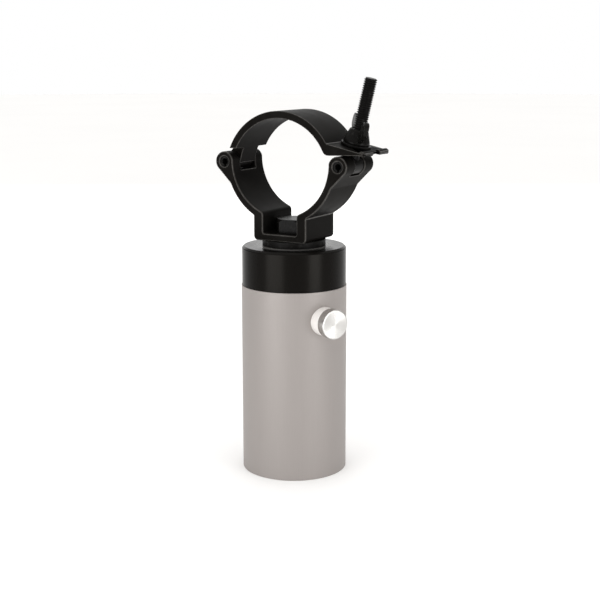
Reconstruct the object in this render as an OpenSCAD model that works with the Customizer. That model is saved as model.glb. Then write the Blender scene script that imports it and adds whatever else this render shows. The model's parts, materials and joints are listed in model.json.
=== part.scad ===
// Stage pipe clamp: a hinged half coupler with a swing bolt, bolted to a plug that a tube slides onto.
// Origin: centre of the tube's open lower end. +Z is up, +Y runs along the gripped pipe,
// +X points from the jaw's hinge to the swing bolt.

/* [Tube] */
// Outside radius of the tube
tube_r = 25; // [20:0.5:30]
// Length of the tube
tube_len = 89.7; // [85:0.1:140]
// Wall of the tube
tube_wall = 3; // [2:0.25:4]
// Depth of the machined socket in the open end
socket_depth = 48; // [20:1:50]

/* [Plug] */
// Radius of the visible collar
collar_r = 24.7; // [22:0.1:26]
// Height of the visible collar
collar_h = 18.6; // [14:0.1:25]
// Length of the spigot inside the tube
spigot_len = 36; // [28:1:38]

/* [Thumb screw] */
// Height of the screw's axis above the tube's lower end
screw_h = 76; // [70:0.5:78]
// Direction of the screw round the tube, from +X
screw_turn = -26.4; // [-60:0.1:60]
// Radius of the knob
knob_r = 6.9; // [5:0.1:8]
// Thickness of the knob
knob_t = 4.55; // [3:0.05:8]
// How far the threaded boss stands out of the tube
boss_out = 4.7; // [3:0.1:6]

/* [Clamp] */
// Radius of both jaws' pipe seats
bore_r = 25.7; // [24:0.1:27]
// Wall of the jaws' rings
ring_wall = 3.4; // [2.5:0.1:4]
// Width of the clamp along the pipe
clamp_w = 26.8; // [22:0.1:32]
// Height of the pipe's axis above the clamp's flat base
bore_rise = 37.1; // [36:0.1:40]
// Width of the block under the lower jaw
block_w = 28.2; // [26:0.2:32]
// Width of the bolt head's pocket
pocket_w = 18.2; // [17:0.1:19]
// How far the empty clamp closes past its round position, in degrees
closed_turn = 11.05; // [0:0.05:11.5]

/* [Swing bolt] */
// Length of the swing bolt from its pivot
bolt_len = 40.4; // [36:0.2:50]
// Lean of the swing bolt when the clamp is closed, in degrees
bolt_lean = 14; // [12:0.1:15]
// Direction of the wing nut's wings round the bolt, in degrees
wing_turn = -57; // [-90:1:90]

/* [Hidden] */
$fn = 96;

// heights of the stack
joint_gap = 0.1;                                   // between the tube's end and the collar
collar_z = tube_len + joint_gap;
collar_top = collar_z + collar_h;
base_washer_r = 15;
base_washer_t = 3.1;
clamp_z = collar_top + base_washer_t;              // the clamp's flat base
bore_z = clamp_z + bore_rise;

// tube and plug
seat_r = tube_r - tube_wall;                       // the tube's bore round the spigot
socket_r = seat_r + 0.25;
spigot_r = seat_r - 0.08;
spigot_wall = 5;
plug_web = 10;                                     // solid top of the plug under the washer
groove_w = 7;
groove_depth = 2;

// clamp bolt, M10, and its lock nut
m10_r = 5;
m10_hole_r = 5.3;
m10_head_af = 16;
m10_head_h = 6.4;
m10_head_turn = 10;
m10_len = 30;
pocket_floor = 3.3;
inner_washer_t = 2;
inner_washer_r = 10;
lock_nut_af = 17;
lock_nut_h = 10;
lock_ring_h = 2.6;
lock_ring_r = 6.9;

// thumb screw, M5
m5_r = 2.5;
m5_pitch = 0.8;
boss_r = 6.65;
boss_neck_r = 4.5;
knob_edge = 0.5;
knob_gap = 0.05;
tip_r = 2.2;
tip_len = 1.5;
tip_stem_r = 1;
tip_stem_len = 3;

// jaws, measured in the X-Z plane from the pipe's axis
ring_r = bore_r + ring_wall;
lug_r = 4.75;
hinge_x = bore_r + 4.6;                            // the lugs just break into the pipe seat
hinge_drop = 1.05;
pin_r = 2.5;
pin_hole_r = 1.5;
pin_recess = 0.7;
turning_gap = 0.06;                                // radial, between a pin and what turns on it
block_h = 18;                                      // up into the ring
pocket_h = 14;                                     // up into the pipe seat
block_round = 2;
pocket_round = 1;
mouth_round = 2;
web_blend = 6;
knuckle_w = 13;
knuckle_r = 4;
knuckle_top = 8;
knuckle_slot_w = 13.4;
knuckle_slot_drop = 5.25;
eye_w = 8.9;
eye_r = 4.3;
eye_slot_w = 9.3;
eye_slot_drop = 5.8;

// tongue of the upper jaw, in the round position
tongue_top = 19.5;
tongue_in_x = 18;                                  // where the tongue's outline starts, inside the ring
tongue_root_x = 24.7;
tongue_root_t = 4.7;
tongue_end_x = 41;
tongue_fall = 1;                                   // the top's slope, in degrees
tongue_taper = 13.2;                               // the underside's slope, in degrees
tongue_round = 3;
tongue_corner = 2.5;
fork_w = 6.8;
fork_end_x = 29.2;
lip_x = 39.3;
lip_r = 1.5;
lip_h = 0.75;
end_cut_z = 5.85;                                  // where the jaw stops above its knuckle
end_cut_x = 28.4;
cut_reach = 50;                                    // further out than any part of the jaws

// swing bolt, M6
m6_r = 3;
m6_root_r = 2.5;
m6_pitch = 1;
thread_start = 11;
seat_t = 9.15;                                     // the washer's lower face, along the bolt
washer_r = 7;
washer_t = 1.1;
nut_t = seat_t + washer_t + 0.05;
nut_h = 6.6;
nut_base_r = 6.2;
nut_top_r = 4.2;
wing_t = 2.1;
wing_tip_r = 3.2;
wing_reach = 10.6;
wing_rise = 9;

hinge_z = bore_z - hinge_drop;

// ---- helpers ----

// a shape in the X-Z plane, w thick along Y, centred on the pipe's axis
module across(w) translate([0, 0, bore_z]) rotate([90, 0, 0]) linear_extrude(w, center = true) children();

// a cylinder along Y through a hinge point
module cross_pin(x, r, w) translate([x, 0, hinge_z]) rotate([90, 0, 0]) cylinder(r = r, h = w, center = true);

module rounded_rect(x0, y0, x1, y1, r) {
    translate([x0 + r, y0]) square([x1 - x0 - 2 * r, y1 - y0]);
    translate([x0, y0 + r]) square([x1 - x0, y1 - y0 - 2 * r]);
    for (x = [x0 + r, x1 - r]) for (y = [y0 + r, y1 - r]) translate([x, y]) circle(r);
}

module tube_of(outer_r, inner_r, h) difference() {
    cylinder(r = outer_r, h = h);
    translate([0, 0, -1]) cylinder(r = inner_r, h = h + 2);
}

// a frame whose Z axis is the thumb screw's axis, pointing out of the tube
module at_screw() translate([0, 0, screw_h]) rotate([0, 0, screw_turn]) rotate([0, 90, 0]) children();

// a frame whose Z axis is the swing bolt's axis, with its origin at the pivot
module at_swing_bolt() translate([hinge_x, 0, hinge_z]) rotate([0, bolt_lean, 0]) children();

// a frame at the jaw's hinge, turned to the closed position of the empty clamp
module closed() translate([-hinge_x, 0, hinge_z]) rotate([0, closed_turn, 0])
    translate([hinge_x, 0, -hinge_z]) children();

// outline of a threaded rod: ridges of one pitch between z0 and z1
function ridges(root_r, crest_r, pitch, z0, z1) = [
    for (i = [0 : floor((z1 - z0) / pitch) - 1])
        for (p = [[root_r, 0.1], [crest_r, 0.45], [crest_r, 0.6], [root_r, 0.95]])
            [p[0], z0 + (i + p[1]) * pitch]
];

module threaded_rod(root_r, crest_r, pitch, z0, z1, chamfer = 0.6)
    rotate_extrude() polygon(concat(
        [[0, z0], [root_r, z0]],
        ridges(root_r, crest_r, pitch, z0, z1 - chamfer),
        [[root_r, z1], [0, z1]]));

// ---- tube, boss and thumb screw ----

module tube() color("#8f8682") difference() {
    cylinder(r = tube_r, h = tube_len);
    translate([0, 0, -1]) cylinder(r = seat_r, h = tube_len + 2);
    translate([0, 0, -1]) cylinder(r = socket_r, h = socket_depth + 1);
    at_screw() cylinder(r = boss_neck_r, h = tube_r + 1);
}

module screw_boss() color("#c9c5c1") difference() {
    at_screw() cylinder(r = boss_r, h = tube_r + boss_out);
    difference() {
        cylinder(r = tube_r, h = tube_len);
        at_screw() cylinder(r = boss_neck_r, h = tube_r + 1);
    }
    cylinder(r = seat_r + 0.3, h = tube_len);
    at_screw() cylinder(r = m5_r + turning_gap, h = tube_r + boss_out + 1);
}

tip_z = spigot_r - groove_depth + joint_gap;
stud_z = tip_z + tip_len + 0.05;
knob_z = tube_r + boss_out + knob_gap;

module screw_tip() color("#e8e6e0") at_screw() translate([0, 0, tip_z]) {
    cylinder(r = tip_r, h = tip_len);
    cylinder(r = tip_stem_r, h = tip_len + tip_stem_len);
}

module thumb_screw() color("#dcdad6") at_screw() difference() {
    union() {
        threaded_rod(m5_r - 0.4, m5_r, m5_pitch, stud_z, knob_z + 0.5, 0.2);
        translate([0, 0, knob_z + knob_edge]) cylinder(r = knob_r, h = knob_t - 2 * knob_edge);
        translate([0, 0, knob_z]) cylinder(r1 = knob_r - knob_edge, r2 = knob_r, h = knob_edge);
        translate([0, 0, knob_z + knob_t - knob_edge])
            cylinder(r1 = knob_r, r2 = knob_r - knob_edge, h = knob_edge);
    }
    translate([0, 0, stud_z - 1]) cylinder(r = tip_stem_r + turning_gap, h = tip_stem_len + 1.2);
}

// ---- plug and the bolt that holds the clamp to it ----

module plug() color("#161616") difference() {
    union() {
        translate([0, 0, collar_z]) cylinder(r = collar_r, h = collar_h - 1);
        translate([0, 0, collar_top - 1]) cylinder(r1 = collar_r, r2 = collar_r - 1, h = 1);
        translate([0, 0, collar_z - spigot_len]) cylinder(r = spigot_r, h = spigot_len + 1);
    }
    translate([0, 0, collar_z - spigot_len - 1])
        cylinder(r = spigot_r - spigot_wall, h = collar_top - plug_web - collar_z + spigot_len + 1);
    translate([0, 0, collar_top - plug_web - 1]) cylinder(r = m10_hole_r, h = plug_web + 2);
    translate([0, 0, screw_h - groove_w / 2]) tube_of(spigot_r + 1, spigot_r - groove_depth, groove_w);
}

module base_washer() color("#1b1b1b")
    translate([0, 0, collar_top]) tube_of(base_washer_r, m10_hole_r, base_washer_t);

module clamp_bolt() color("#2a2a2a") {
    head_z = clamp_z + pocket_floor;
    translate([0, 0, head_z]) rotate([0, 0, m10_head_turn]) intersection() {
        cylinder(r = m10_head_af / 2 / cos(30), h = m10_head_h, $fn = 6);
        cylinder(r1 = m10_head_af / 2 + 5, r2 = m10_head_af / 2 + 0.3, h = m10_head_h);
    }
    translate([0, 0, head_z - m10_len]) cylinder(r1 = m10_r - 0.8, r2 = m10_r, h = 0.8);
    translate([0, 0, head_z - m10_len + 0.8]) cylinder(r = m10_r, h = m10_len - 0.7);
}

inner_washer_z = collar_top - plug_web - inner_washer_t;

module inner_washer() color("#b8b8b8")
    translate([0, 0, inner_washer_z]) tube_of(inner_washer_r, m10_hole_r, inner_washer_t);

module lock_nut() color("#c0c0c0") translate([0, 0, inner_washer_z - lock_nut_h]) difference() {
    union() {
        translate([0, 0, lock_ring_h])
            cylinder(r = lock_nut_af / 2 / cos(30), h = lock_nut_h - lock_ring_h, $fn = 6);
        cylinder(r = lock_nut_af / 2 - 0.4, h = lock_ring_h + 0.1);
    }
    translate([0, 0, -1]) cylinder(r = m10_r, h = lock_nut_h + 2);
    translate([0, 0, -1]) cylinder(r = lock_ring_r, h = lock_ring_h + 1);
}

module lock_nut_ring() color("#2d5fa8")
    translate([0, 0, inner_washer_z - lock_nut_h]) tube_of(lock_ring_r, m10_r, lock_ring_h);

// ---- lower jaw ----

// the web under a lug: it leaves the lug at 45 degrees and bends into the ring along an arc of web_blend
web_n = [-sqrt(0.5), -sqrt(0.5)];
web_start = [-hinge_x, -hinge_drop] + (lug_r - 0.05) * web_n;
web_off = web_n * web_start + web_blend;
web_in_r = ring_r - 0.15;                          // the arc ends a little inside the ring
web_c = web_off * web_n + sqrt(pow(web_in_r + web_blend, 2) - pow(web_off, 2)) * [web_n[1], -web_n[0]];
web_from = 45;
web_to = atan2(-web_c[1], -web_c[0]);

module web() polygon(concat(
    [[-hinge_x, -hinge_drop], web_start],
    [for (i = [0 : 8]) web_c + web_blend * [cos(web_from + (web_to - web_from) * i / 8),
        sin(web_from + (web_to - web_from) * i / 8)]],
    [web_c * (ring_r - 1.5) / (ring_r + web_blend), [-bore_r - 1, -hinge_drop - 4]]));

// what is cut from the sharp edge where the pocket's wall meets the pipe seat
mouth_x = pocket_w / 2 + mouth_round;
mouth_c = [mouth_x, -sqrt(pow(bore_r + mouth_round, 2) - pow(mouth_x, 2))];

module mouth_edge() difference() {
    polygon([[pocket_w / 2 - 0.1, mouth_c[1]], mouth_c, mouth_c * (bore_r - 0.5) / (bore_r + mouth_round),
        [pocket_w / 2 - 0.1, mouth_c[1] + 3]]);
    translate(mouth_c) circle(mouth_round);
}

module lower_jaw_outline() difference() {
    union() {
        intersection() {
            circle(ring_r);
            translate([-cut_reach, -cut_reach - hinge_drop]) square([2 * cut_reach, cut_reach]);
        }
        for (side = [0, 1]) mirror([side, 0]) {
            translate([-hinge_x, -hinge_drop]) circle(lug_r);
            web();
        }
        rounded_rect(-block_w / 2, -bore_rise, block_w / 2, -bore_rise + block_h, block_round);
    }
    circle(bore_r);
    rounded_rect(-pocket_w / 2, -bore_rise + pocket_floor, pocket_w / 2,
        -bore_rise + pocket_floor + pocket_h, pocket_round);
    for (side = [0, 1]) mirror([side, 0]) mouth_edge();
}

module lower_jaw() color("#191919") difference() {
    across(clamp_w) lower_jaw_outline();
    translate([-hinge_x - 10, -knuckle_slot_w / 2, bore_z - knuckle_slot_drop])
        cube([20, knuckle_slot_w, 20]);
    translate([hinge_x - 10, -eye_slot_w / 2, bore_z - eye_slot_drop]) cube([20, eye_slot_w, 20]);
    for (x = [-hinge_x, hinge_x]) cross_pin(x, pin_r, clamp_w + 2);
    translate([0, 0, clamp_z - 1]) cylinder(r = m10_hole_r, h = pocket_floor + 2);
}

// ---- upper jaw, drawn round the pipe's axis and then closed ----

function tongue_under(x) = tongue_top - tongue_root_t + (x - tongue_root_x) * tan(tongue_taper);
function tongue_over(x) = tongue_top - (x - tongue_root_x) * tan(tongue_fall);

tongue_c_z = tongue_under(0) + tongue_round / cos(tongue_taper);
// centre of the rounding between the pipe seat and the tongue's underside
tongue_k = tan(tongue_taper);
tongue_a = 1 + pow(tongue_k, 2);
tongue_b = tongue_k * tongue_c_z;
tongue_d = pow(tongue_c_z, 2) - pow(bore_r + tongue_round, 2);
tongue_c_x = (sqrt(pow(tongue_b, 2) - tongue_a * tongue_d) - tongue_b) / tongue_a;
tongue_c = [tongue_c_x, tongue_c_z + tongue_k * tongue_c_x];

module tongue_outline() difference() {
    polygon([[tongue_in_x, tongue_over(tongue_in_x)], [tongue_in_x, tongue_under(tongue_in_x)],
        [tongue_end_x, tongue_under(tongue_end_x)], [tongue_end_x, tongue_over(tongue_end_x)]]);
    translate([0, tongue_top + 5]) square([10, 10]);
}

// the sharp edge where the pipe seat meets the tongue's underside
module tongue_edge() difference() {
    polygon([tongue_c, tongue_c * (bore_r - 0.5) / (bore_r + tongue_round), [tongue_c[0] - 2, 12],
        tongue_c + (tongue_round + 0.5) * [sin(tongue_taper), -cos(tongue_taper)]]);
    translate(tongue_c) circle(tongue_round);
}

// the ring above a line through its left end and below the tongue's underside at its right end
module upper_ring(left_z) difference() {
    circle(ring_r);
    circle(bore_r);
    translate([-cut_reach, left_z]) rotate(closed_turn) translate([-20, -60]) square([70, 60]);
    translate([0, -cut_reach]) square([cut_reach, cut_reach]);
    polygon([[10, 0], [10, 4], [tongue_in_x - 1, tongue_under(tongue_in_x - 1)],
        [cut_reach, tongue_under(cut_reach)], [cut_reach, 0]]);
}

module knuckle_outline() difference() {
    union() {
        translate([-hinge_x, -hinge_drop]) circle(knuckle_r);
        intersection() {
            circle(ring_r);
            translate([-40, -hinge_drop]) square([30, end_cut_z + 4]);
        }
        polygon([[-hinge_x, -hinge_drop], [-hinge_x - knuckle_r, -hinge_drop], [-ring_r, knuckle_top],
            [-ring_r + 3, knuckle_top]]);
    }
    circle(bore_r);
}

module upper_jaw_body() difference() {
    union() {
        across(clamp_w) difference() {
            union() {
                upper_ring(end_cut_z - (cut_reach - end_cut_x) * tan(closed_turn));
                difference() {
                    tongue_outline();
                    circle(bore_r);
                }
            }
            tongue_edge();
        }
        across(knuckle_w) knuckle_outline();
        across(clamp_w - 2) translate([lip_x, tongue_over(lip_x) + lip_h - lip_r]) difference() {
            circle(lip_r);
            translate([-3, -3 - lip_r + lip_h]) square([6, 3]);
        }
    }
    // fork for the swing bolt, open at the tongue's end
    translate([fork_end_x, -fork_w / 2, bore_z]) cube([30, fork_w, 40]);
    translate([fork_end_x, 0, bore_z + 5]) cylinder(r = fork_w / 2, h = 30);
    // round corners of the tongue's end, seen from above
    for (side = [0, 1]) mirror([0, side, 0])
        translate([tongue_end_x - tongue_corner, clamp_w / 2 - tongue_corner, bore_z]) difference() {
            cube([tongue_corner + 1, tongue_corner + 1, 40]);
            translate([0, 0, -1]) cylinder(r = tongue_corner, h = 42);
        }
    cross_pin(-hinge_x, pin_r + turning_gap, clamp_w + 2);
}

module upper_jaw() color("#191919") closed() upper_jaw_body();

// ---- pins, swing bolt and wing nut ----

// a slotted spring pin, sunk a little at both ends
module spring_pin(x) difference() {
    cross_pin(x, pin_r, clamp_w - 2 * pin_recess);
    cross_pin(x, pin_hole_r, clamp_w + 2);
    translate([x - 0.4, -clamp_w, hinge_z - pin_r - 1]) cube([0.8, 2 * clamp_w, pin_r]);
}

module hinge_pin() color("#202020") spring_pin(-hinge_x);
module swing_bolt_pin() color("#202020") spring_pin(hinge_x);

module swing_bolt() color("#1d1d1d") difference() {
    union() {
        cross_pin(hinge_x, eye_r, eye_w);
        at_swing_bolt() {
            cylinder(r = m6_r, h = thread_start);
            threaded_rod(m6_root_r, m6_r, m6_pitch, thread_start - 0.2, bolt_len);
        }
    }
    cross_pin(hinge_x, pin_r + turning_gap, clamp_w);
}

module wing_nut_washer() color("#1d1d1d")
    at_swing_bolt() translate([0, 0, seat_t]) tube_of(washer_r, m6_r + 0.3, washer_t);

module wing() rotate([90, 0, 0]) linear_extrude(wing_t, center = true) {
    translate([wing_reach, wing_rise]) circle(wing_tip_r);
    polygon([[2.8, 1.5], [5.2, 1.8], [wing_reach + 2.6, wing_rise - 1.9], [wing_reach + 1, wing_rise + 3],
        [wing_reach - 2.4, wing_rise + 2.1], [5, 7.2], [2.8, nut_h]]);
}

module wing_nut() color("#1d1d1d") at_swing_bolt() translate([0, 0, nut_t]) rotate([0, 0, wing_turn])
    difference() {
        union() {
            cylinder(r1 = nut_base_r, r2 = nut_top_r, h = nut_h);
            for (turn = [0, 180]) rotate([0, 0, turn]) wing();
        }
        translate([0, 0, -1]) cylinder(r = m6_r + turning_gap, h = nut_h + 12);
    }

tube();
screw_boss();
screw_tip();
thumb_screw();
plug();
base_washer();
clamp_bolt();
inner_washer();
lock_nut();
lock_nut_ring();
lower_jaw();
upper_jaw();
hinge_pin();
swing_bolt_pin();
swing_bolt();
wing_nut_washer();
wing_nut();
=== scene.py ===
"""Stage pipe clamp: materials, detailed pieces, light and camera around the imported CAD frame.

All lengths are metres.
"""

import json
import math

import bmesh
import bpy
from mathutils import Matrix, Vector


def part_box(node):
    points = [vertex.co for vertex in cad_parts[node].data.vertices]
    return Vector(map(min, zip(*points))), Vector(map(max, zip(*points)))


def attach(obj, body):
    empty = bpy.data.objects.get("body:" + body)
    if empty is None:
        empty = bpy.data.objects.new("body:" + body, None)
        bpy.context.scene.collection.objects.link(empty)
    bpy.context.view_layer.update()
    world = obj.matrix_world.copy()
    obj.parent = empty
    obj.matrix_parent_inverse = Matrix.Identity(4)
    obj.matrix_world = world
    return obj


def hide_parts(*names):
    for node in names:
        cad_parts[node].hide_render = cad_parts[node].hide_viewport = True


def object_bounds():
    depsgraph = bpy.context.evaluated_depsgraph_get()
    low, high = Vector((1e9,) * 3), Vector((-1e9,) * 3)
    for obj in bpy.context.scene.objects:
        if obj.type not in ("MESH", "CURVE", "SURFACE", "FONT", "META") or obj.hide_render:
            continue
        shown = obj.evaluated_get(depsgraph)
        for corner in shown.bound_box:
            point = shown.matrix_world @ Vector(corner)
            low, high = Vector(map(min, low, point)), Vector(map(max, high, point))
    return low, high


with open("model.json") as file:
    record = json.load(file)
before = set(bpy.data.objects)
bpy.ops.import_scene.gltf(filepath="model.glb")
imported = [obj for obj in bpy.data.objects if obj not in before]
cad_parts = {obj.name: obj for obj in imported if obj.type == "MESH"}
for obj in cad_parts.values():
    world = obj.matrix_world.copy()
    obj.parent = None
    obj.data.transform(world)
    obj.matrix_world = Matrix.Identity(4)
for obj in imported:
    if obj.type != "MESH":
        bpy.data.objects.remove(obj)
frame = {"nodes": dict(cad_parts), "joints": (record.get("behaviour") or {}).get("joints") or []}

CAD_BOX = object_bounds()
MM = 0.001
NODES = frame["nodes"]
JOINTS = {joint["name"]: joint for joint in frame["joints"]}


# ---- node materials ----


def new_material(name, color, roughness, metallic=0.0, specular=0.5):
    """A material with one Principled shader, its uniform values set on the shader's own sockets."""
    material = bpy.data.materials.new(name)
    material.use_nodes = True
    shader = material.node_tree.nodes["Principled BSDF"]
    shader.inputs["Base Color"].default_value = (*color, 1)
    shader.inputs["Roughness"].default_value = roughness
    shader.inputs["Metallic"].default_value = metallic
    shader.inputs["Specular IOR Level"].default_value = specular
    return material, shader


def add_node(material, kind, **inputs):
    """A node of a kind, with its named inputs set to values or linked to another node's output."""
    node = material.node_tree.nodes.new(kind)
    for key, value in inputs.items():
        socket = node.inputs[key.replace("_", " ")]
        if isinstance(value, bpy.types.NodeSocket):
            material.node_tree.links.new(value, socket)
        else:
            socket.default_value = value
    return node


def place_vector(material, stretch=(1, 1, 1), turn=(0, 0, 0)):
    """Object coordinates, which are metres in the object's frame, turned and then stretched."""
    position = add_node(material, "ShaderNodeTexCoord").outputs["Object"]
    turned = add_node(material, "ShaderNodeMapping", Vector=position, Rotation=turn)
    return add_node(material, "ShaderNodeMapping", Vector=turned.outputs[0], Scale=stretch).outputs[0]


def noise(material, vector, size, detail=3.0, rough=0.55):
    """Noise whose largest features are about size across."""
    node = add_node(material, "ShaderNodeTexNoise", Vector=vector,
                    Scale=1 / size, Detail=detail, Roughness=rough)
    return node.outputs["Fac"]


def set_range(node, start, stop, low, high):
    """Makes a Map Range node turn start to stop into low to high."""
    for socket, number in zip(("From Min", "From Max", "To Min", "To Max"), (start, stop, low, high)):
        node.inputs[socket].default_value = number


def remap(material, value, low, high, start=0.25, stop=0.75):
    """A value from start to stop becomes low to high."""
    node = add_node(material, "ShaderNodeMapRange", Value=value)
    set_range(node, start, stop, low, high)
    return node.outputs["Result"]


def multiply(material, first, second):
    """The product of two linked outputs."""
    node = material.node_tree.nodes.new("ShaderNodeMath")
    node.operation = "MULTIPLY"
    for output, socket in zip((first, second), node.inputs):
        material.node_tree.links.new(output, socket)
    return node.outputs[0]


def mix_colors(material, factor, first, second):
    """first where factor is 0 and second where it is 1; both are colours or linked outputs."""
    node = material.node_tree.nodes.new("ShaderNodeMix")
    node.data_type = "RGBA"
    material.node_tree.links.new(factor, node.inputs["Factor"])
    for socket, value in (("A_Color", first), ("B_Color", second)):
        target = next(s for s in node.inputs if s.identifier == socket)
        if isinstance(value, bpy.types.NodeSocket):
            material.node_tree.links.new(value, target)
        else:
            target.default_value = (*value, 1)
    return next(s for s in node.outputs if s.identifier == "Result_Color")


def connect(material, output, shader, socket):
    """Links a node's output to one of the shader's sockets."""
    material.node_tree.links.new(output, shader.inputs[socket])


def add_bumps(material, shader, *layers):
    """Stacks bump layers of (height output, depth in metres, strength) onto the shader's normal."""
    normal = None
    for height, depth, strength in layers:
        bump = add_node(material, "ShaderNodeBump", Height=height, Distance=depth, Strength=strength)
        if normal is not None:
            material.node_tree.links.new(normal, bump.inputs["Normal"])
        normal = bump.outputs["Normal"]
    connect(material, normal, shader, "Normal")


def powder_coat(name, color, roughness, gloss, rub=0.0):
    """Matt black powder coat: fine orange peel, uneven gloss, and paler rubbed spots if rub is above 0."""
    material, shader = new_material(name, color, roughness, specular=gloss)
    shader.inputs["Specular Tint"].default_value = WARM_GLOSS
    place = place_vector(material)
    peel = noise(material, place, 0.55 * MM, 2)
    cloud = noise(material, place, 9 * MM, 4)
    speck = noise(material, place, 1.4 * MM, 5, 0.7)
    lighter = tuple(min(1, c * 1.5 + 0.004) for c in color)
    shade = mix_colors(material, remap(material, cloud, 0, 1, 0.3, 0.7), color, lighter)
    if rub > 0:
        worn = tuple(c * 3.4 + 0.015 for c in color)
        shade = mix_colors(material, remap(material, speck, 0, rub, 0.48, 0.62), shade, worn)
    connect(material, shade, shader, "Base Color")
    connect(material, remap(material, cloud, roughness - 0.06, roughness + 0.07), shader, "Roughness")
    add_bumps(material, shader, (peel, 0.02 * MM, 0.5), (speck, 0.012 * MM, 0.3))
    return material


def machined(name, color, roughness, metallic, stretch, turn=(0, 0, 0),
             specular=0.5, line=0.25, depth=0.5, spread=0.06, contrast=1.0):
    """Metal with fine tool marks: noise drawn out by stretch, line across, in colour, gloss and height."""
    material, shader = new_material(name, color, roughness, metallic, specular)
    marks = noise(material, place_vector(material, stretch, turn), line * MM, 3, 0.6)
    cloud = noise(material, place_vector(material), 14 * MM, 3)
    darker = tuple(c * (1 - 0.1 * contrast) for c in color)
    lighter = tuple(min(1, c * (1 + 0.08 * contrast)) for c in color)
    shade = mix_colors(material, remap(material, marks, 0, 1), darker, lighter)
    shade = mix_colors(material, remap(material, cloud, 0, 0.3), shade, color)
    connect(material, shade, shader, "Base Color")
    connect(material, remap(material, marks, roughness - spread, roughness + spread), shader, "Roughness")
    add_bumps(material, shader, (marks, 0.006 * MM, depth))
    return material, shader


def black_fastener(name, color, roughness, pit=0.9):
    """Blackened steel: slightly glossy, with shallow pits about pit mm wide and a few paler rubbed spots."""
    material, shader = new_material(name, color, roughness, specular=BLACKENED_GLOSS)
    place = place_vector(material)
    pits = noise(material, place, pit * MM, 4, 0.6)
    rubs = noise(material, place, 2.6 * MM, 5, 0.7)
    paler = tuple(c * 4 + 0.02 for c in color)
    shade = mix_colors(material, remap(material, rubs, 0, 0.5, 0.56, 0.72), color, paler)
    connect(material, shade, shader, "Base Color")
    connect(material, remap(material, pits, roughness - 0.08, roughness + 0.1), shader, "Roughness")
    add_bumps(material, shader, (pits, 0.03 * MM, 0.45))
    return material


def moulded(name, color, roughness):
    """Moulded nylon: a soft sheen with faint flow marks."""
    material, shader = new_material(name, color, roughness)
    flow = noise(material, place_vector(material, (1, 1, 3)), 1.2 * MM, 3)
    shade = mix_colors(material, remap(material, flow, 0, 1), color, tuple(min(1, c * 1.2) for c in color))
    connect(material, shade, shader, "Base Color")
    connect(material, remap(material, flow, roughness - 0.05, roughness + 0.05), shader, "Roughness")
    add_bumps(material, shader, (flow, 0.01 * MM, 0.3))
    return material


# the screw's axis points out of the tube; this turn brings it to the texture's X
screw_axis = Vector(JOINTS["thumb_turn"]["axis"])
SCREW_TURN = math.atan2(screw_axis.y, screw_axis.x)

WARM_GLOSS = (1, 0.95, 0.88, 1)
BLACKENED_GLOSS = 0.07
EVERY_WAY = (1, 1, 1)
ALONG_Z = (1, 1, 0.02)
AROUND_Z = (0.03, 0.03, 1)
AROUND_X = (1, 0.03, 0.03)

JAW = powder_coat("jaw_powder_coat", (0.0026, 0.0022, 0.0018), 0.5, 0.032)
# the jaws' rounded edges get a lighter colour than the flats: a painted highlight on the bevels, with paler
# rubbed spots on top
JAW_EDGE_HIGHLIGHT_AND_RUBS = powder_coat("jaw_edge_painted_highlight_and_rubs", (0.014, 0.013, 0.012), 0.38, 0.32, rub=0.5)
TUBE, _ = machined("tube_satin_grey", (0.290, 0.265, 0.252), 0.5, 0.2, ALONG_Z,
                   line=0.4, depth=0.12, contrast=0.4)
BOSS, _ = machined("boss_turned", (0.90, 0.87, 0.845), 0.42, 0.25, AROUND_X, (0, 0, -SCREW_TURN))
PLUG, plug_shader = machined("plug_black_anodised", (0.0034, 0.0030, 0.0026), 0.23, 0.0, AROUND_Z,
                             specular=0.062, line=0.2, depth=0.1, spread=0.02)
KNOB, knob_shader = machined("knob_turned_bright", (0.60, 0.59, 0.575), 0.24, 1.0, AROUND_Z, line=0.15)
ZINC, _ = machined("zinc_plate", (0.62, 0.62, 0.62), 0.34, 0.95, EVERY_WAY, line=1.1)
WASHER = black_fastener("washer_black", (0.0060, 0.0056, 0.0052), 0.40)
BOLT = black_fastener("bolt_black", (0.0032, 0.0029, 0.0027), 0.36, pit=0.6)
PIN = black_fastener("pin_black", (0.0050, 0.0047, 0.0044), 0.45)
NUT = black_fastener("nut_black_cast", (0.0058, 0.0054, 0.0050), 0.27, pit=1.1)
NYLON = moulded("nylon_white", (0.80, 0.79, 0.74), 0.45)
RING = moulded("nylon_blue", (0.06, 0.14, 0.40), 0.4)


def painted_sheen_ring(material, shader, inner, outer, low, color):
    """Paints a paler ring round the object's Z axis onto the faces above the height low: a painted sheen."""
    spot = add_node(material, "ShaderNodeSeparateXYZ", Vector=place_vector(material))
    flat = add_node(material, "ShaderNodeCombineXYZ", X=spot.outputs["X"], Y=spot.outputs["Y"])
    length = add_node(material, "ShaderNodeVectorMath")
    length.operation = "LENGTH"
    material.node_tree.links.new(flat.outputs[0], length.inputs[0])
    ring = remap(material, length.outputs["Value"], 1, 0, inner, outer)
    fade = 0.1 * MM
    above = remap(material, spot.outputs["Z"], 0, 1, low, low + fade)
    before = shader.inputs["Base Color"].links[0].from_socket
    # the paler ring mixed in here is a painted sheen
    painted_sheen = mix_colors(material, multiply(material, ring, above), before, color)
    connect(material, painted_sheen, shader, "Base Color")


def tangent_round_z(material, shader, amount):
    """Stretches highlights round the object's own Z axis, as lathe-turned metal does."""
    tangent = material.node_tree.nodes.new("ShaderNodeTangent")
    tangent.direction_type = "RADIAL"
    tangent.axis = "Z"
    shader.inputs["Anisotropic"].default_value = amount
    connect(material, tangent.outputs[0], shader, "Tangent")


tangent_round_z(KNOB, knob_shader, 0.7)
tangent_round_z(PLUG, plug_shader, 0.35)
plug_shader.inputs["Specular Tint"].default_value = WARM_GLOSS
plug_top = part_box("plug")[1].z
washer_radius = (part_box("base_washer")[1].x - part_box("base_washer")[0].x) / 2
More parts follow.
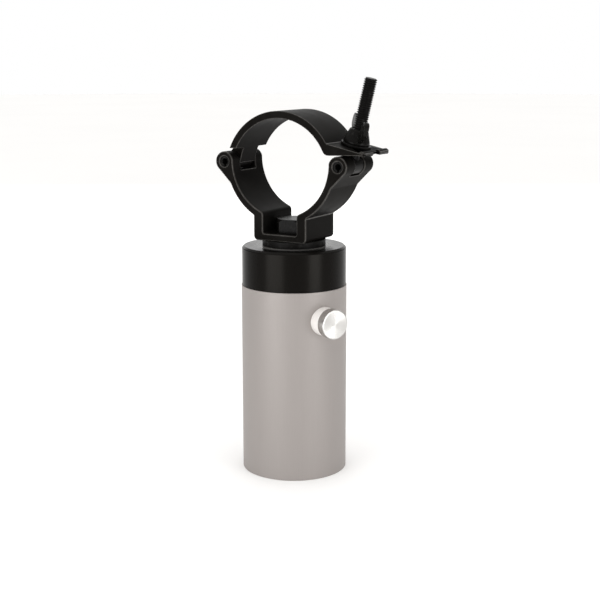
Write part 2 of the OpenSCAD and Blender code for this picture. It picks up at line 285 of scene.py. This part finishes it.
# a paler ring painted on the plug's top just outside its washer: a painted sheen where the top catches
# grazing light
painted_sheen_ring(PLUG, plug_shader, washer_radius + 0.2 * MM, washer_radius + 4.5 * MM, plug_top - 1.5 * MM,
          (0.16, 0.155, 0.15))


# ---- mesh helpers ----


def mesh_object(name, bm):
    """Turns bm into a smooth-shaded object."""
    mesh = bpy.data.meshes.new(name)
    bmesh.ops.recalc_face_normals(bm, faces=bm.faces)
    bm.to_mesh(mesh)
    bm.free()
    mesh.shade_smooth()
    made = bpy.data.objects.new(name, mesh)
    bpy.context.scene.collection.objects.link(made)
    return made


def grid_faces(bm, rows, closed_rows=False):
    """Joins rows of points, each row closed on itself, into quads."""
    pairs = zip(rows, rows[1:] + rows[:1]) if closed_rows else zip(rows, rows[1:])
    for low, high in pairs:
        for i in range(len(low)):
            j = (i + 1) % len(low)
            bm.faces.new((low[i], low[j], high[j], high[i]))


def round_profile(corners, radius, steps=4):
    """Closed outline through (x, y) corners, each rounded; radius is one number or one for each corner."""
    count = len(corners)
    radii = radius if isinstance(radius, (list, tuple)) else [radius] * count
    outline = []
    for i, (corner, r) in enumerate(zip(corners, radii)):
        here = Vector(corner)
        if r == 0:
            outline.append(here)
            continue
        before = (Vector(corners[i - 1]) - here).normalized()
        after = (Vector(corners[(i + 1) % count]) - here).normalized()
        half = before.angle(after) / 2
        reach = r / math.tan(half)
        centre = here + (before + after).normalized() * (r / math.sin(half))
        start = here + before * reach - centre
        stop = here + after * reach - centre
        sweep = start.angle_signed(stop)
        for k in range(steps + 1):
            turn = Matrix.Rotation(-sweep * k / steps, 2)
            outline.append(centre + turn @ start)
    return outline


def lathe(name, outline, segments=96):
    """A solid of revolution round Z from a closed outline of (radius, height) points."""
    bm = bmesh.new()
    rings = []
    for r, z in outline:
        ring = []
        for i in range(segments):
            a = 2 * math.pi * i / segments
            ring.append(bm.verts.new((r * math.cos(a), r * math.sin(a), z)))
        rings.append(ring)
    grid_faces(bm, rings, closed_rows=True)
    bmesh.ops.remove_doubles(bm, verts=bm.verts, dist=0.001 * MM)
    return mesh_object(name, bm)


def modify(obj, kind, **settings):
    """Adds a modifier with these settings."""
    modifier = obj.modifiers.new(kind.lower(), kind)
    for key, value in settings.items():
        setattr(modifier, key, value)
    return modifier


def bake_modifiers(obj):
    """Replaces a new object's mesh by its evaluated one, and drops its modifiers."""
    bpy.context.view_layer.update()
    graph = bpy.context.evaluated_depsgraph_get()
    mesh = bpy.data.meshes.new_from_object(obj.evaluated_get(graph))
    obj.modifiers.clear()
    old = obj.data
    obj.data = mesh
    bpy.data.meshes.remove(old)
    mesh.name = obj.name
    return obj


def combine(target, tool, operation="UNION"):
    """Applies an exact boolean of tool to target and deletes tool."""
    modify(target, "BOOLEAN", object=tool, operation=operation, solver="EXACT")
    bake_modifiers(target)
    bpy.data.objects.remove(tool)
    return target


SHARP_ANGLE = math.radians(28)
FLAT_ANGLE = math.radians(0.3)


def soften(obj, width, edge_material=None):
    """Rounds a CAD node's sharp edges for display; its own mesh stays as it is.

    A node with an edge material keeps the full width everywhere, where others are clamped to fit.
    """
    modify(obj, "WELD", merge_threshold=0.0004 * MM)
    modify(obj, "DECIMATE", decimate_type="DISSOLVE", angle_limit=FLAT_ANGLE)
    bevel = modify(obj, "BEVEL", width=width, segments=3, limit_method="ANGLE", angle_limit=SHARP_ANGLE,
                   use_clamp_overlap=edge_material is None, miter_outer="MITER_ARC")
    # the bevel faces take the edge material; for the jaws its lighter colour is a painted highlight
    if edge_material is not None:
        obj.data.materials.append(edge_material)
        bevel.material = len(obj.data.materials) - 1
    modify(obj, "WEIGHTED_NORMAL", mode="FACE_AREA", weight=50)


def paint(obj, material):
    """Makes material the object's only one."""
    obj.data.materials.clear()
    obj.data.materials.append(material)


# ---- finishes of the CAD nodes that stay ----

# each node's material and the width of its rounded edges in mm
FINISH = {
    "tube": (TUBE, 0.35), "screw_boss": (BOSS, 0.2), "screw_tip": (NYLON, 0.12),
    "plug": (PLUG, 0.2), "base_washer": (WASHER, 0.3), "clamp_bolt": (BOLT, 0.25),
    "inner_washer": (ZINC, 0.25), "lock_nut": (ZINC, 0.25), "lock_nut_ring": (RING, 0.2),
    "hinge_pin": (PIN, 0.15), "swing_bolt_pin": (PIN, 0.15), "wing_nut_washer": (WASHER, 0.2),
    "lower_jaw": (JAW, 0.5), "upper_jaw": (JAW, 0.28),
}

for name, (material, width) in FINISH.items():
    paint(NODES[name], material)
    soften(NODES[name], width * MM, JAW_EDGE_HIGHLIGHT_AND_RUBS if material is JAW else None)


# ---- swing bolt with a real thread ----

bolt_axis = Vector(JOINTS["wing_nut_turn"]["axis"]).normalized()
bolt_pivot = Vector(JOINTS["bolt_lean"]["pos_m"])


def frame_at(origin, axis):
    """The frame at origin whose Z is the axis."""
    turn = Vector((0, 0, 1)).rotation_difference(axis).to_matrix().to_4x4()
    return Matrix.Translation(origin) @ turn


BOLT_FRAME = frame_at(bolt_pivot, bolt_axis)


def reach_along(node, origin, axis):
    """The lowest and highest place of a CAD node's points along an axis through origin."""
    places = [(vertex.co - origin).dot(axis) for vertex in NODES[node].data.vertices]
    return min(places), max(places)


def helix_rod(name, root, crest, pitch, start, stop, chamfer, sides=40):
    """A rod with a helical thread from start to stop, with a chamfered upper end."""
    # (height, place along the pitch) of one thread, both as fractions
    profile = ((0.0, 0.06), (1.0, 0.42), (1.0, 0.60), (0.0, 0.94))
    end_radius = root + 0.2 * MM
    turns = math.ceil((stop - start) / pitch) + 1
    bm = bmesh.new()
    rows = []
    for turn in range(-1, turns):
        for rise, place in profile:
            row = []
            for i in range(sides):
                a = 2 * math.pi * i / sides
                z = start + pitch * (turn + place + i / sides)
                radius = root + (crest - root) * rise
                if z >= stop or z <= start:
                    radius = root
                z = min(max(z, start), stop)
                radius = min(radius, end_radius + (stop - z) * (crest - root) / chamfer)
                row.append(bm.verts.new((radius * math.cos(a), radius * math.sin(a), z)))
            rows.append(row)
    # the last column meets the first one a pitch higher, four rows on
    step = len(profile)
    for k in range(len(rows) - 1):
        for i in range(sides - 1):
            bm.faces.new((rows[k][i], rows[k][i + 1], rows[k + 1][i + 1], rows[k + 1][i]))
        if k + 1 + step < len(rows):
            bm.faces.new((rows[k + step][0], rows[k + step + 1][0], rows[k + 1][-1], rows[k][-1]))
    bmesh.ops.remove_doubles(bm, verts=bm.verts, dist=0.002 * MM)
    bmesh.ops.dissolve_degenerate(bm, edges=bm.edges, dist=0.002 * MM)
    loose = [edge for edge in bm.edges if edge.is_boundary]
    bmesh.ops.holes_fill(bm, edges=loose)
    return mesh_object(name, bm)


def make_swing_bolt():
    """Eye, plain shank and M6 thread, made with Z as the bolt's axis and the pivot as the origin."""
    _, length = reach_along("swing_bolt", bolt_pivot, bolt_axis)
    low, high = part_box("swing_bolt")
    eye_width = high.y - low.y
    eye_radius = bolt_pivot.z - low.z
    hole = 2.56 * MM
    root, crest = 2.38 * MM, 2.99 * MM
    pitch = 1 * MM
    thread_start = 11 * MM
    half = eye_width / 2
    eye = lathe("swing_bolt_detail", round_profile(
        [(hole, -half), (eye_radius, -half), (eye_radius, half), (hole, half)],
        [0.25 * MM, 0.6 * MM, 0.6 * MM, 0.25 * MM]), 72)
    eye.data.transform(Matrix.Rotation(math.pi / 2, 4, "X"))
    foot = 3 * MM
    shank = lathe("shank", round_profile(
        [(0, foot), (crest, foot), (crest, thread_start), (0, thread_start)],
        [0, 0.02 * MM, 0.35 * MM, 0]), 72)
    combine(eye, shank)
    thread = helix_rod("thread", root, crest, pitch, thread_start - 0.6 * MM, length, chamfer=0.9 * MM)
    combine(eye, thread)
    eye.data.transform(BOLT_FRAME)
    paint(eye, BOLT)
    eye.data.shade_smooth()
    modify(eye, "WEIGHTED_NORMAL", mode="FACE_AREA", weight=50)
    return eye


swing_bolt = make_swing_bolt()
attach(swing_bolt, "swing_bolt_body")
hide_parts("swing_bolt")


# ---- wing nut as one soft casting ----


def extruded(name, outline, thickness):
    """An outline of (x, z) points, thickness thick along Y."""
    bm = bmesh.new()
    sides = [[bm.verts.new((x, y, z)) for x, z in outline] for y in (-thickness / 2, thickness / 2)]
    grid_faces(bm, sides)
    for side in sides:
        bm.faces.new(side)
    return mesh_object(name, bm)


def make_wing_nut():
    """Boss and two wings, joined and blended the way a casting is."""
    low, high = reach_along("wing_nut", bolt_pivot, bolt_axis)
    hole = 3.1 * MM
    neck = 4.2 * MM
    boss_height = 6.6 * MM
    boss = lathe("wing_nut_detail", round_profile(
        [(hole, 0), (6.2 * MM, 0), (6.1 * MM, 1.3 * MM), (neck, boss_height), (hole, boss_height)],
        [0.2 * MM, 0.3 * MM, 0.5 * MM, 0.5 * MM, 0.2 * MM]), 64)
    tip = high - low
    thickness = 2.1 * MM
    for turn in (0, math.pi):
        outline = round_profile(
            [(3.6 * MM, 1.2 * MM), (6.4 * MM, 1.6 * MM), (13.4 * MM, 6.2 * MM), (13.2 * MM, 11.9 * MM),
             (8.3 * MM, tip - 0.35 * MM), (4.6 * MM, 6.3 * MM), (3.6 * MM, 5.6 * MM)],
            [0.1 * MM, 0.6 * MM, 2.4 * MM, 2.2 * MM, 1.9 * MM, 1 * MM, 0.1 * MM], 6)
        wing = extruded("wing", outline, thickness)
        wing.data.transform(Matrix.Rotation(turn, 4, "Z"))
        combine(boss, wing)
    modify(boss, "REMESH", mode="VOXEL", voxel_size=0.16 * MM)
    modify(boss, "SMOOTH", factor=0.6, iterations=22)
    modify(boss, "DECIMATE", ratio=0.25)
    bake_modifiers(boss)
    wing_turn = Matrix.Rotation(math.radians(-50), 4, "Z")
    boss.data.transform(BOLT_FRAME @ Matrix.Translation((0, 0, low)) @ wing_turn)
    paint(boss, NUT)
    boss.data.shade_smooth()
    return boss


wing_nut = make_wing_nut()
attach(wing_nut, "wing_nut_body")
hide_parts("wing_nut")


# ---- thumb screw with a turned head ----

screw_height = JOINTS["thumb_turn"]["pos_m"][2]
screw_origin = Vector((0, 0, screw_height))
SCREW_FRAME = frame_at(screw_origin, screw_axis)


def make_thumb_screw():
    """Turned head with a chamfered rim and a shallow dished face, on an M5 stud."""
    stud_start, face = reach_along("thumb_screw", screw_origin, screw_axis)
    head_radius = 6.9 * MM
    rim = 0.7 * MM
    under = face - 4.55 * MM
    dish = 0.12 * MM
    head = lathe("thumb_screw_detail", round_profile(
        [(0, under), (head_radius, under), (head_radius, face), (head_radius - rim, face), (0, face - dish)],
        [0, 0.45 * MM, 0.42 * MM, 0.12 * MM, 0]), 128)
    root, crest, pitch = 2.1 * MM, 2.5 * MM, 0.8 * MM
    stud = helix_rod("stud", root, crest, pitch, stud_start + 0.4 * MM, under + 0.6 * MM, 0.7 * MM, 32)
    combine(head, stud)
    # room for the tip's stem
    stem, below, above = 1.06 * MM, stud_start - 1 * MM, stud_start + 3.2 * MM
    socket = lathe("socket", [(0, below), (stem, below), (stem, above), (0, above)], 32)
    combine(head, socket, "DIFFERENCE")
    head.matrix_world = SCREW_FRAME
    paint(head, KNOB)
    head.data.shade_smooth()
    modify(head, "WEIGHTED_NORMAL", mode="FACE_AREA", weight=50)
    return head


thumb_screw = make_thumb_screw()
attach(thumb_screw, "thumb_screw_body")
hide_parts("thumb_screw")


# ---- floor, light and camera ----


FLOOR_RADIUS = 6
FLOOR_GAP = 0.05 * MM


def make_floor():
    """A pale round floor just under the tube."""
    bm = bmesh.new()
    bmesh.ops.create_circle(bm, cap_ends=True, segments=96, radius=FLOOR_RADIUS)
    floor = mesh_object("floor", bm)
    floor.location.z = CAD_BOX[0].z - FLOOR_GAP
    material, shader = new_material("floor_pale", (0.92, 0.92, 0.92), 0.8, specular=0.2)
    tint = noise(material, place_vector(material), 0.5, 2)
    shade = mix_colors(material, remap(material, tint, 0, 1), (0.91, 0.91, 0.91), (0.93, 0.93, 0.93))
    connect(material, shade, shader, "Base Color")
    paint(floor, material)


WALL_LIGHT = 0.18
CEILING_LIGHT = 1.6


def make_world():
    """A bright ceiling over dim walls for light and reflections, and plain white to the camera."""
    world = bpy.data.worlds.new("studio")
    bpy.context.scene.world = world
    world.use_nodes = True
    nodes, links = world.node_tree.nodes, world.node_tree.links
    split = nodes.new("ShaderNodeSeparateXYZ")
    links.new(nodes.new("ShaderNodeTexCoord").outputs["Generated"], split.inputs[0])
    ramp = nodes.new("ShaderNodeMapRange")
    links.new(split.outputs["Z"], ramp.inputs["Value"])
    set_range(ramp, 0.2, 0.9, WALL_LIGHT, CEILING_LIGHT)
    dim = nodes["Background"]
    dim.inputs["Color"].default_value = (1, 0.99, 0.975, 1)
    links.new(ramp.outputs["Result"], dim.inputs["Strength"])
    bright = nodes.new("ShaderNodeBackground")
    bright.inputs["Color"].default_value = (1, 1, 1, 1)
    path = nodes.new("ShaderNodeLightPath")
    mix = nodes.new("ShaderNodeMixShader")
    links.new(path.outputs["Is Camera Ray"], mix.inputs["Fac"])
    links.new(dim.outputs[0], mix.inputs[1])
    links.new(bright.outputs[0], mix.inputs[2])
    links.new(mix.outputs[0], nodes["World Output"].inputs["Surface"])


def soft_box(name, azimuth, elevation, distance, size, power, target, color=(1, 1, 1)):
    """An area light round the target; azimuth 0 is along -Y, 90 along +X, as the camera's."""
    data = bpy.data.lights.new(name, "AREA")
    data.shape = "RECTANGLE"
    data.size, data.size_y = size
    data.energy = power
    data.color = color
    lamp = bpy.data.objects.new(name, data)
    bpy.context.scene.collection.objects.link(lamp)
    a, e = math.radians(azimuth), math.radians(elevation)
    out = Vector((math.sin(a) * math.cos(e), -math.cos(a) * math.cos(e), math.sin(e)))
    lamp.location = target + out * distance
    lamp.rotation_mode = "QUATERNION"
    lamp.rotation_quaternion = out.to_track_quat("Z", "Y")
    lamp.visible_camera = False


def make_lights(view_azimuth):
    """Two soft boxes near the front, whose reflections show as bands on the plug, and one far behind."""
    middle = (CAD_BOX[0] + CAD_BOX[1]) / 2
    soft_box("strip_left", view_azimuth - 43, -4, 0.42, (0.28, 0.26), 1.0, middle)
    soft_box("strip_right", view_azimuth + 45, -4, 0.42, (0.19, 0.26), 0.8, middle)
    soft_box("backdrop", view_azimuth + 180, 16, 1.2, (1.5, 0.55), 3.6, middle)


def make_camera():
    """A camera a little above the clamp, to the bolt's side of the pipe's axis; returns its azimuth."""
    data = bpy.data.cameras.new("camera")
    camera = bpy.data.objects.new("camera", data)
    bpy.context.scene.collection.objects.link(camera)
    bpy.context.scene.camera = camera
    camera.location = (0.2732, -0.4639, 0.1956)
    yaw, pitch = math.radians(29.78), math.radians(10.17)
    camera.rotation_euler = (math.pi / 2 - pitch, 0, yaw)
    data.sensor_width = 36
    data.lens = 68.92
    data.shift_x, data.shift_y = -0.0137, -0.06
    data.clip_start = 0.01
    return math.degrees(math.atan2(camera.location.x, -camera.location.y))


make_floor()
make_world()
make_lights(make_camera())
bpy.context.scene.view_settings.view_transform = "Standard"

bpy.context.view_layer.update()
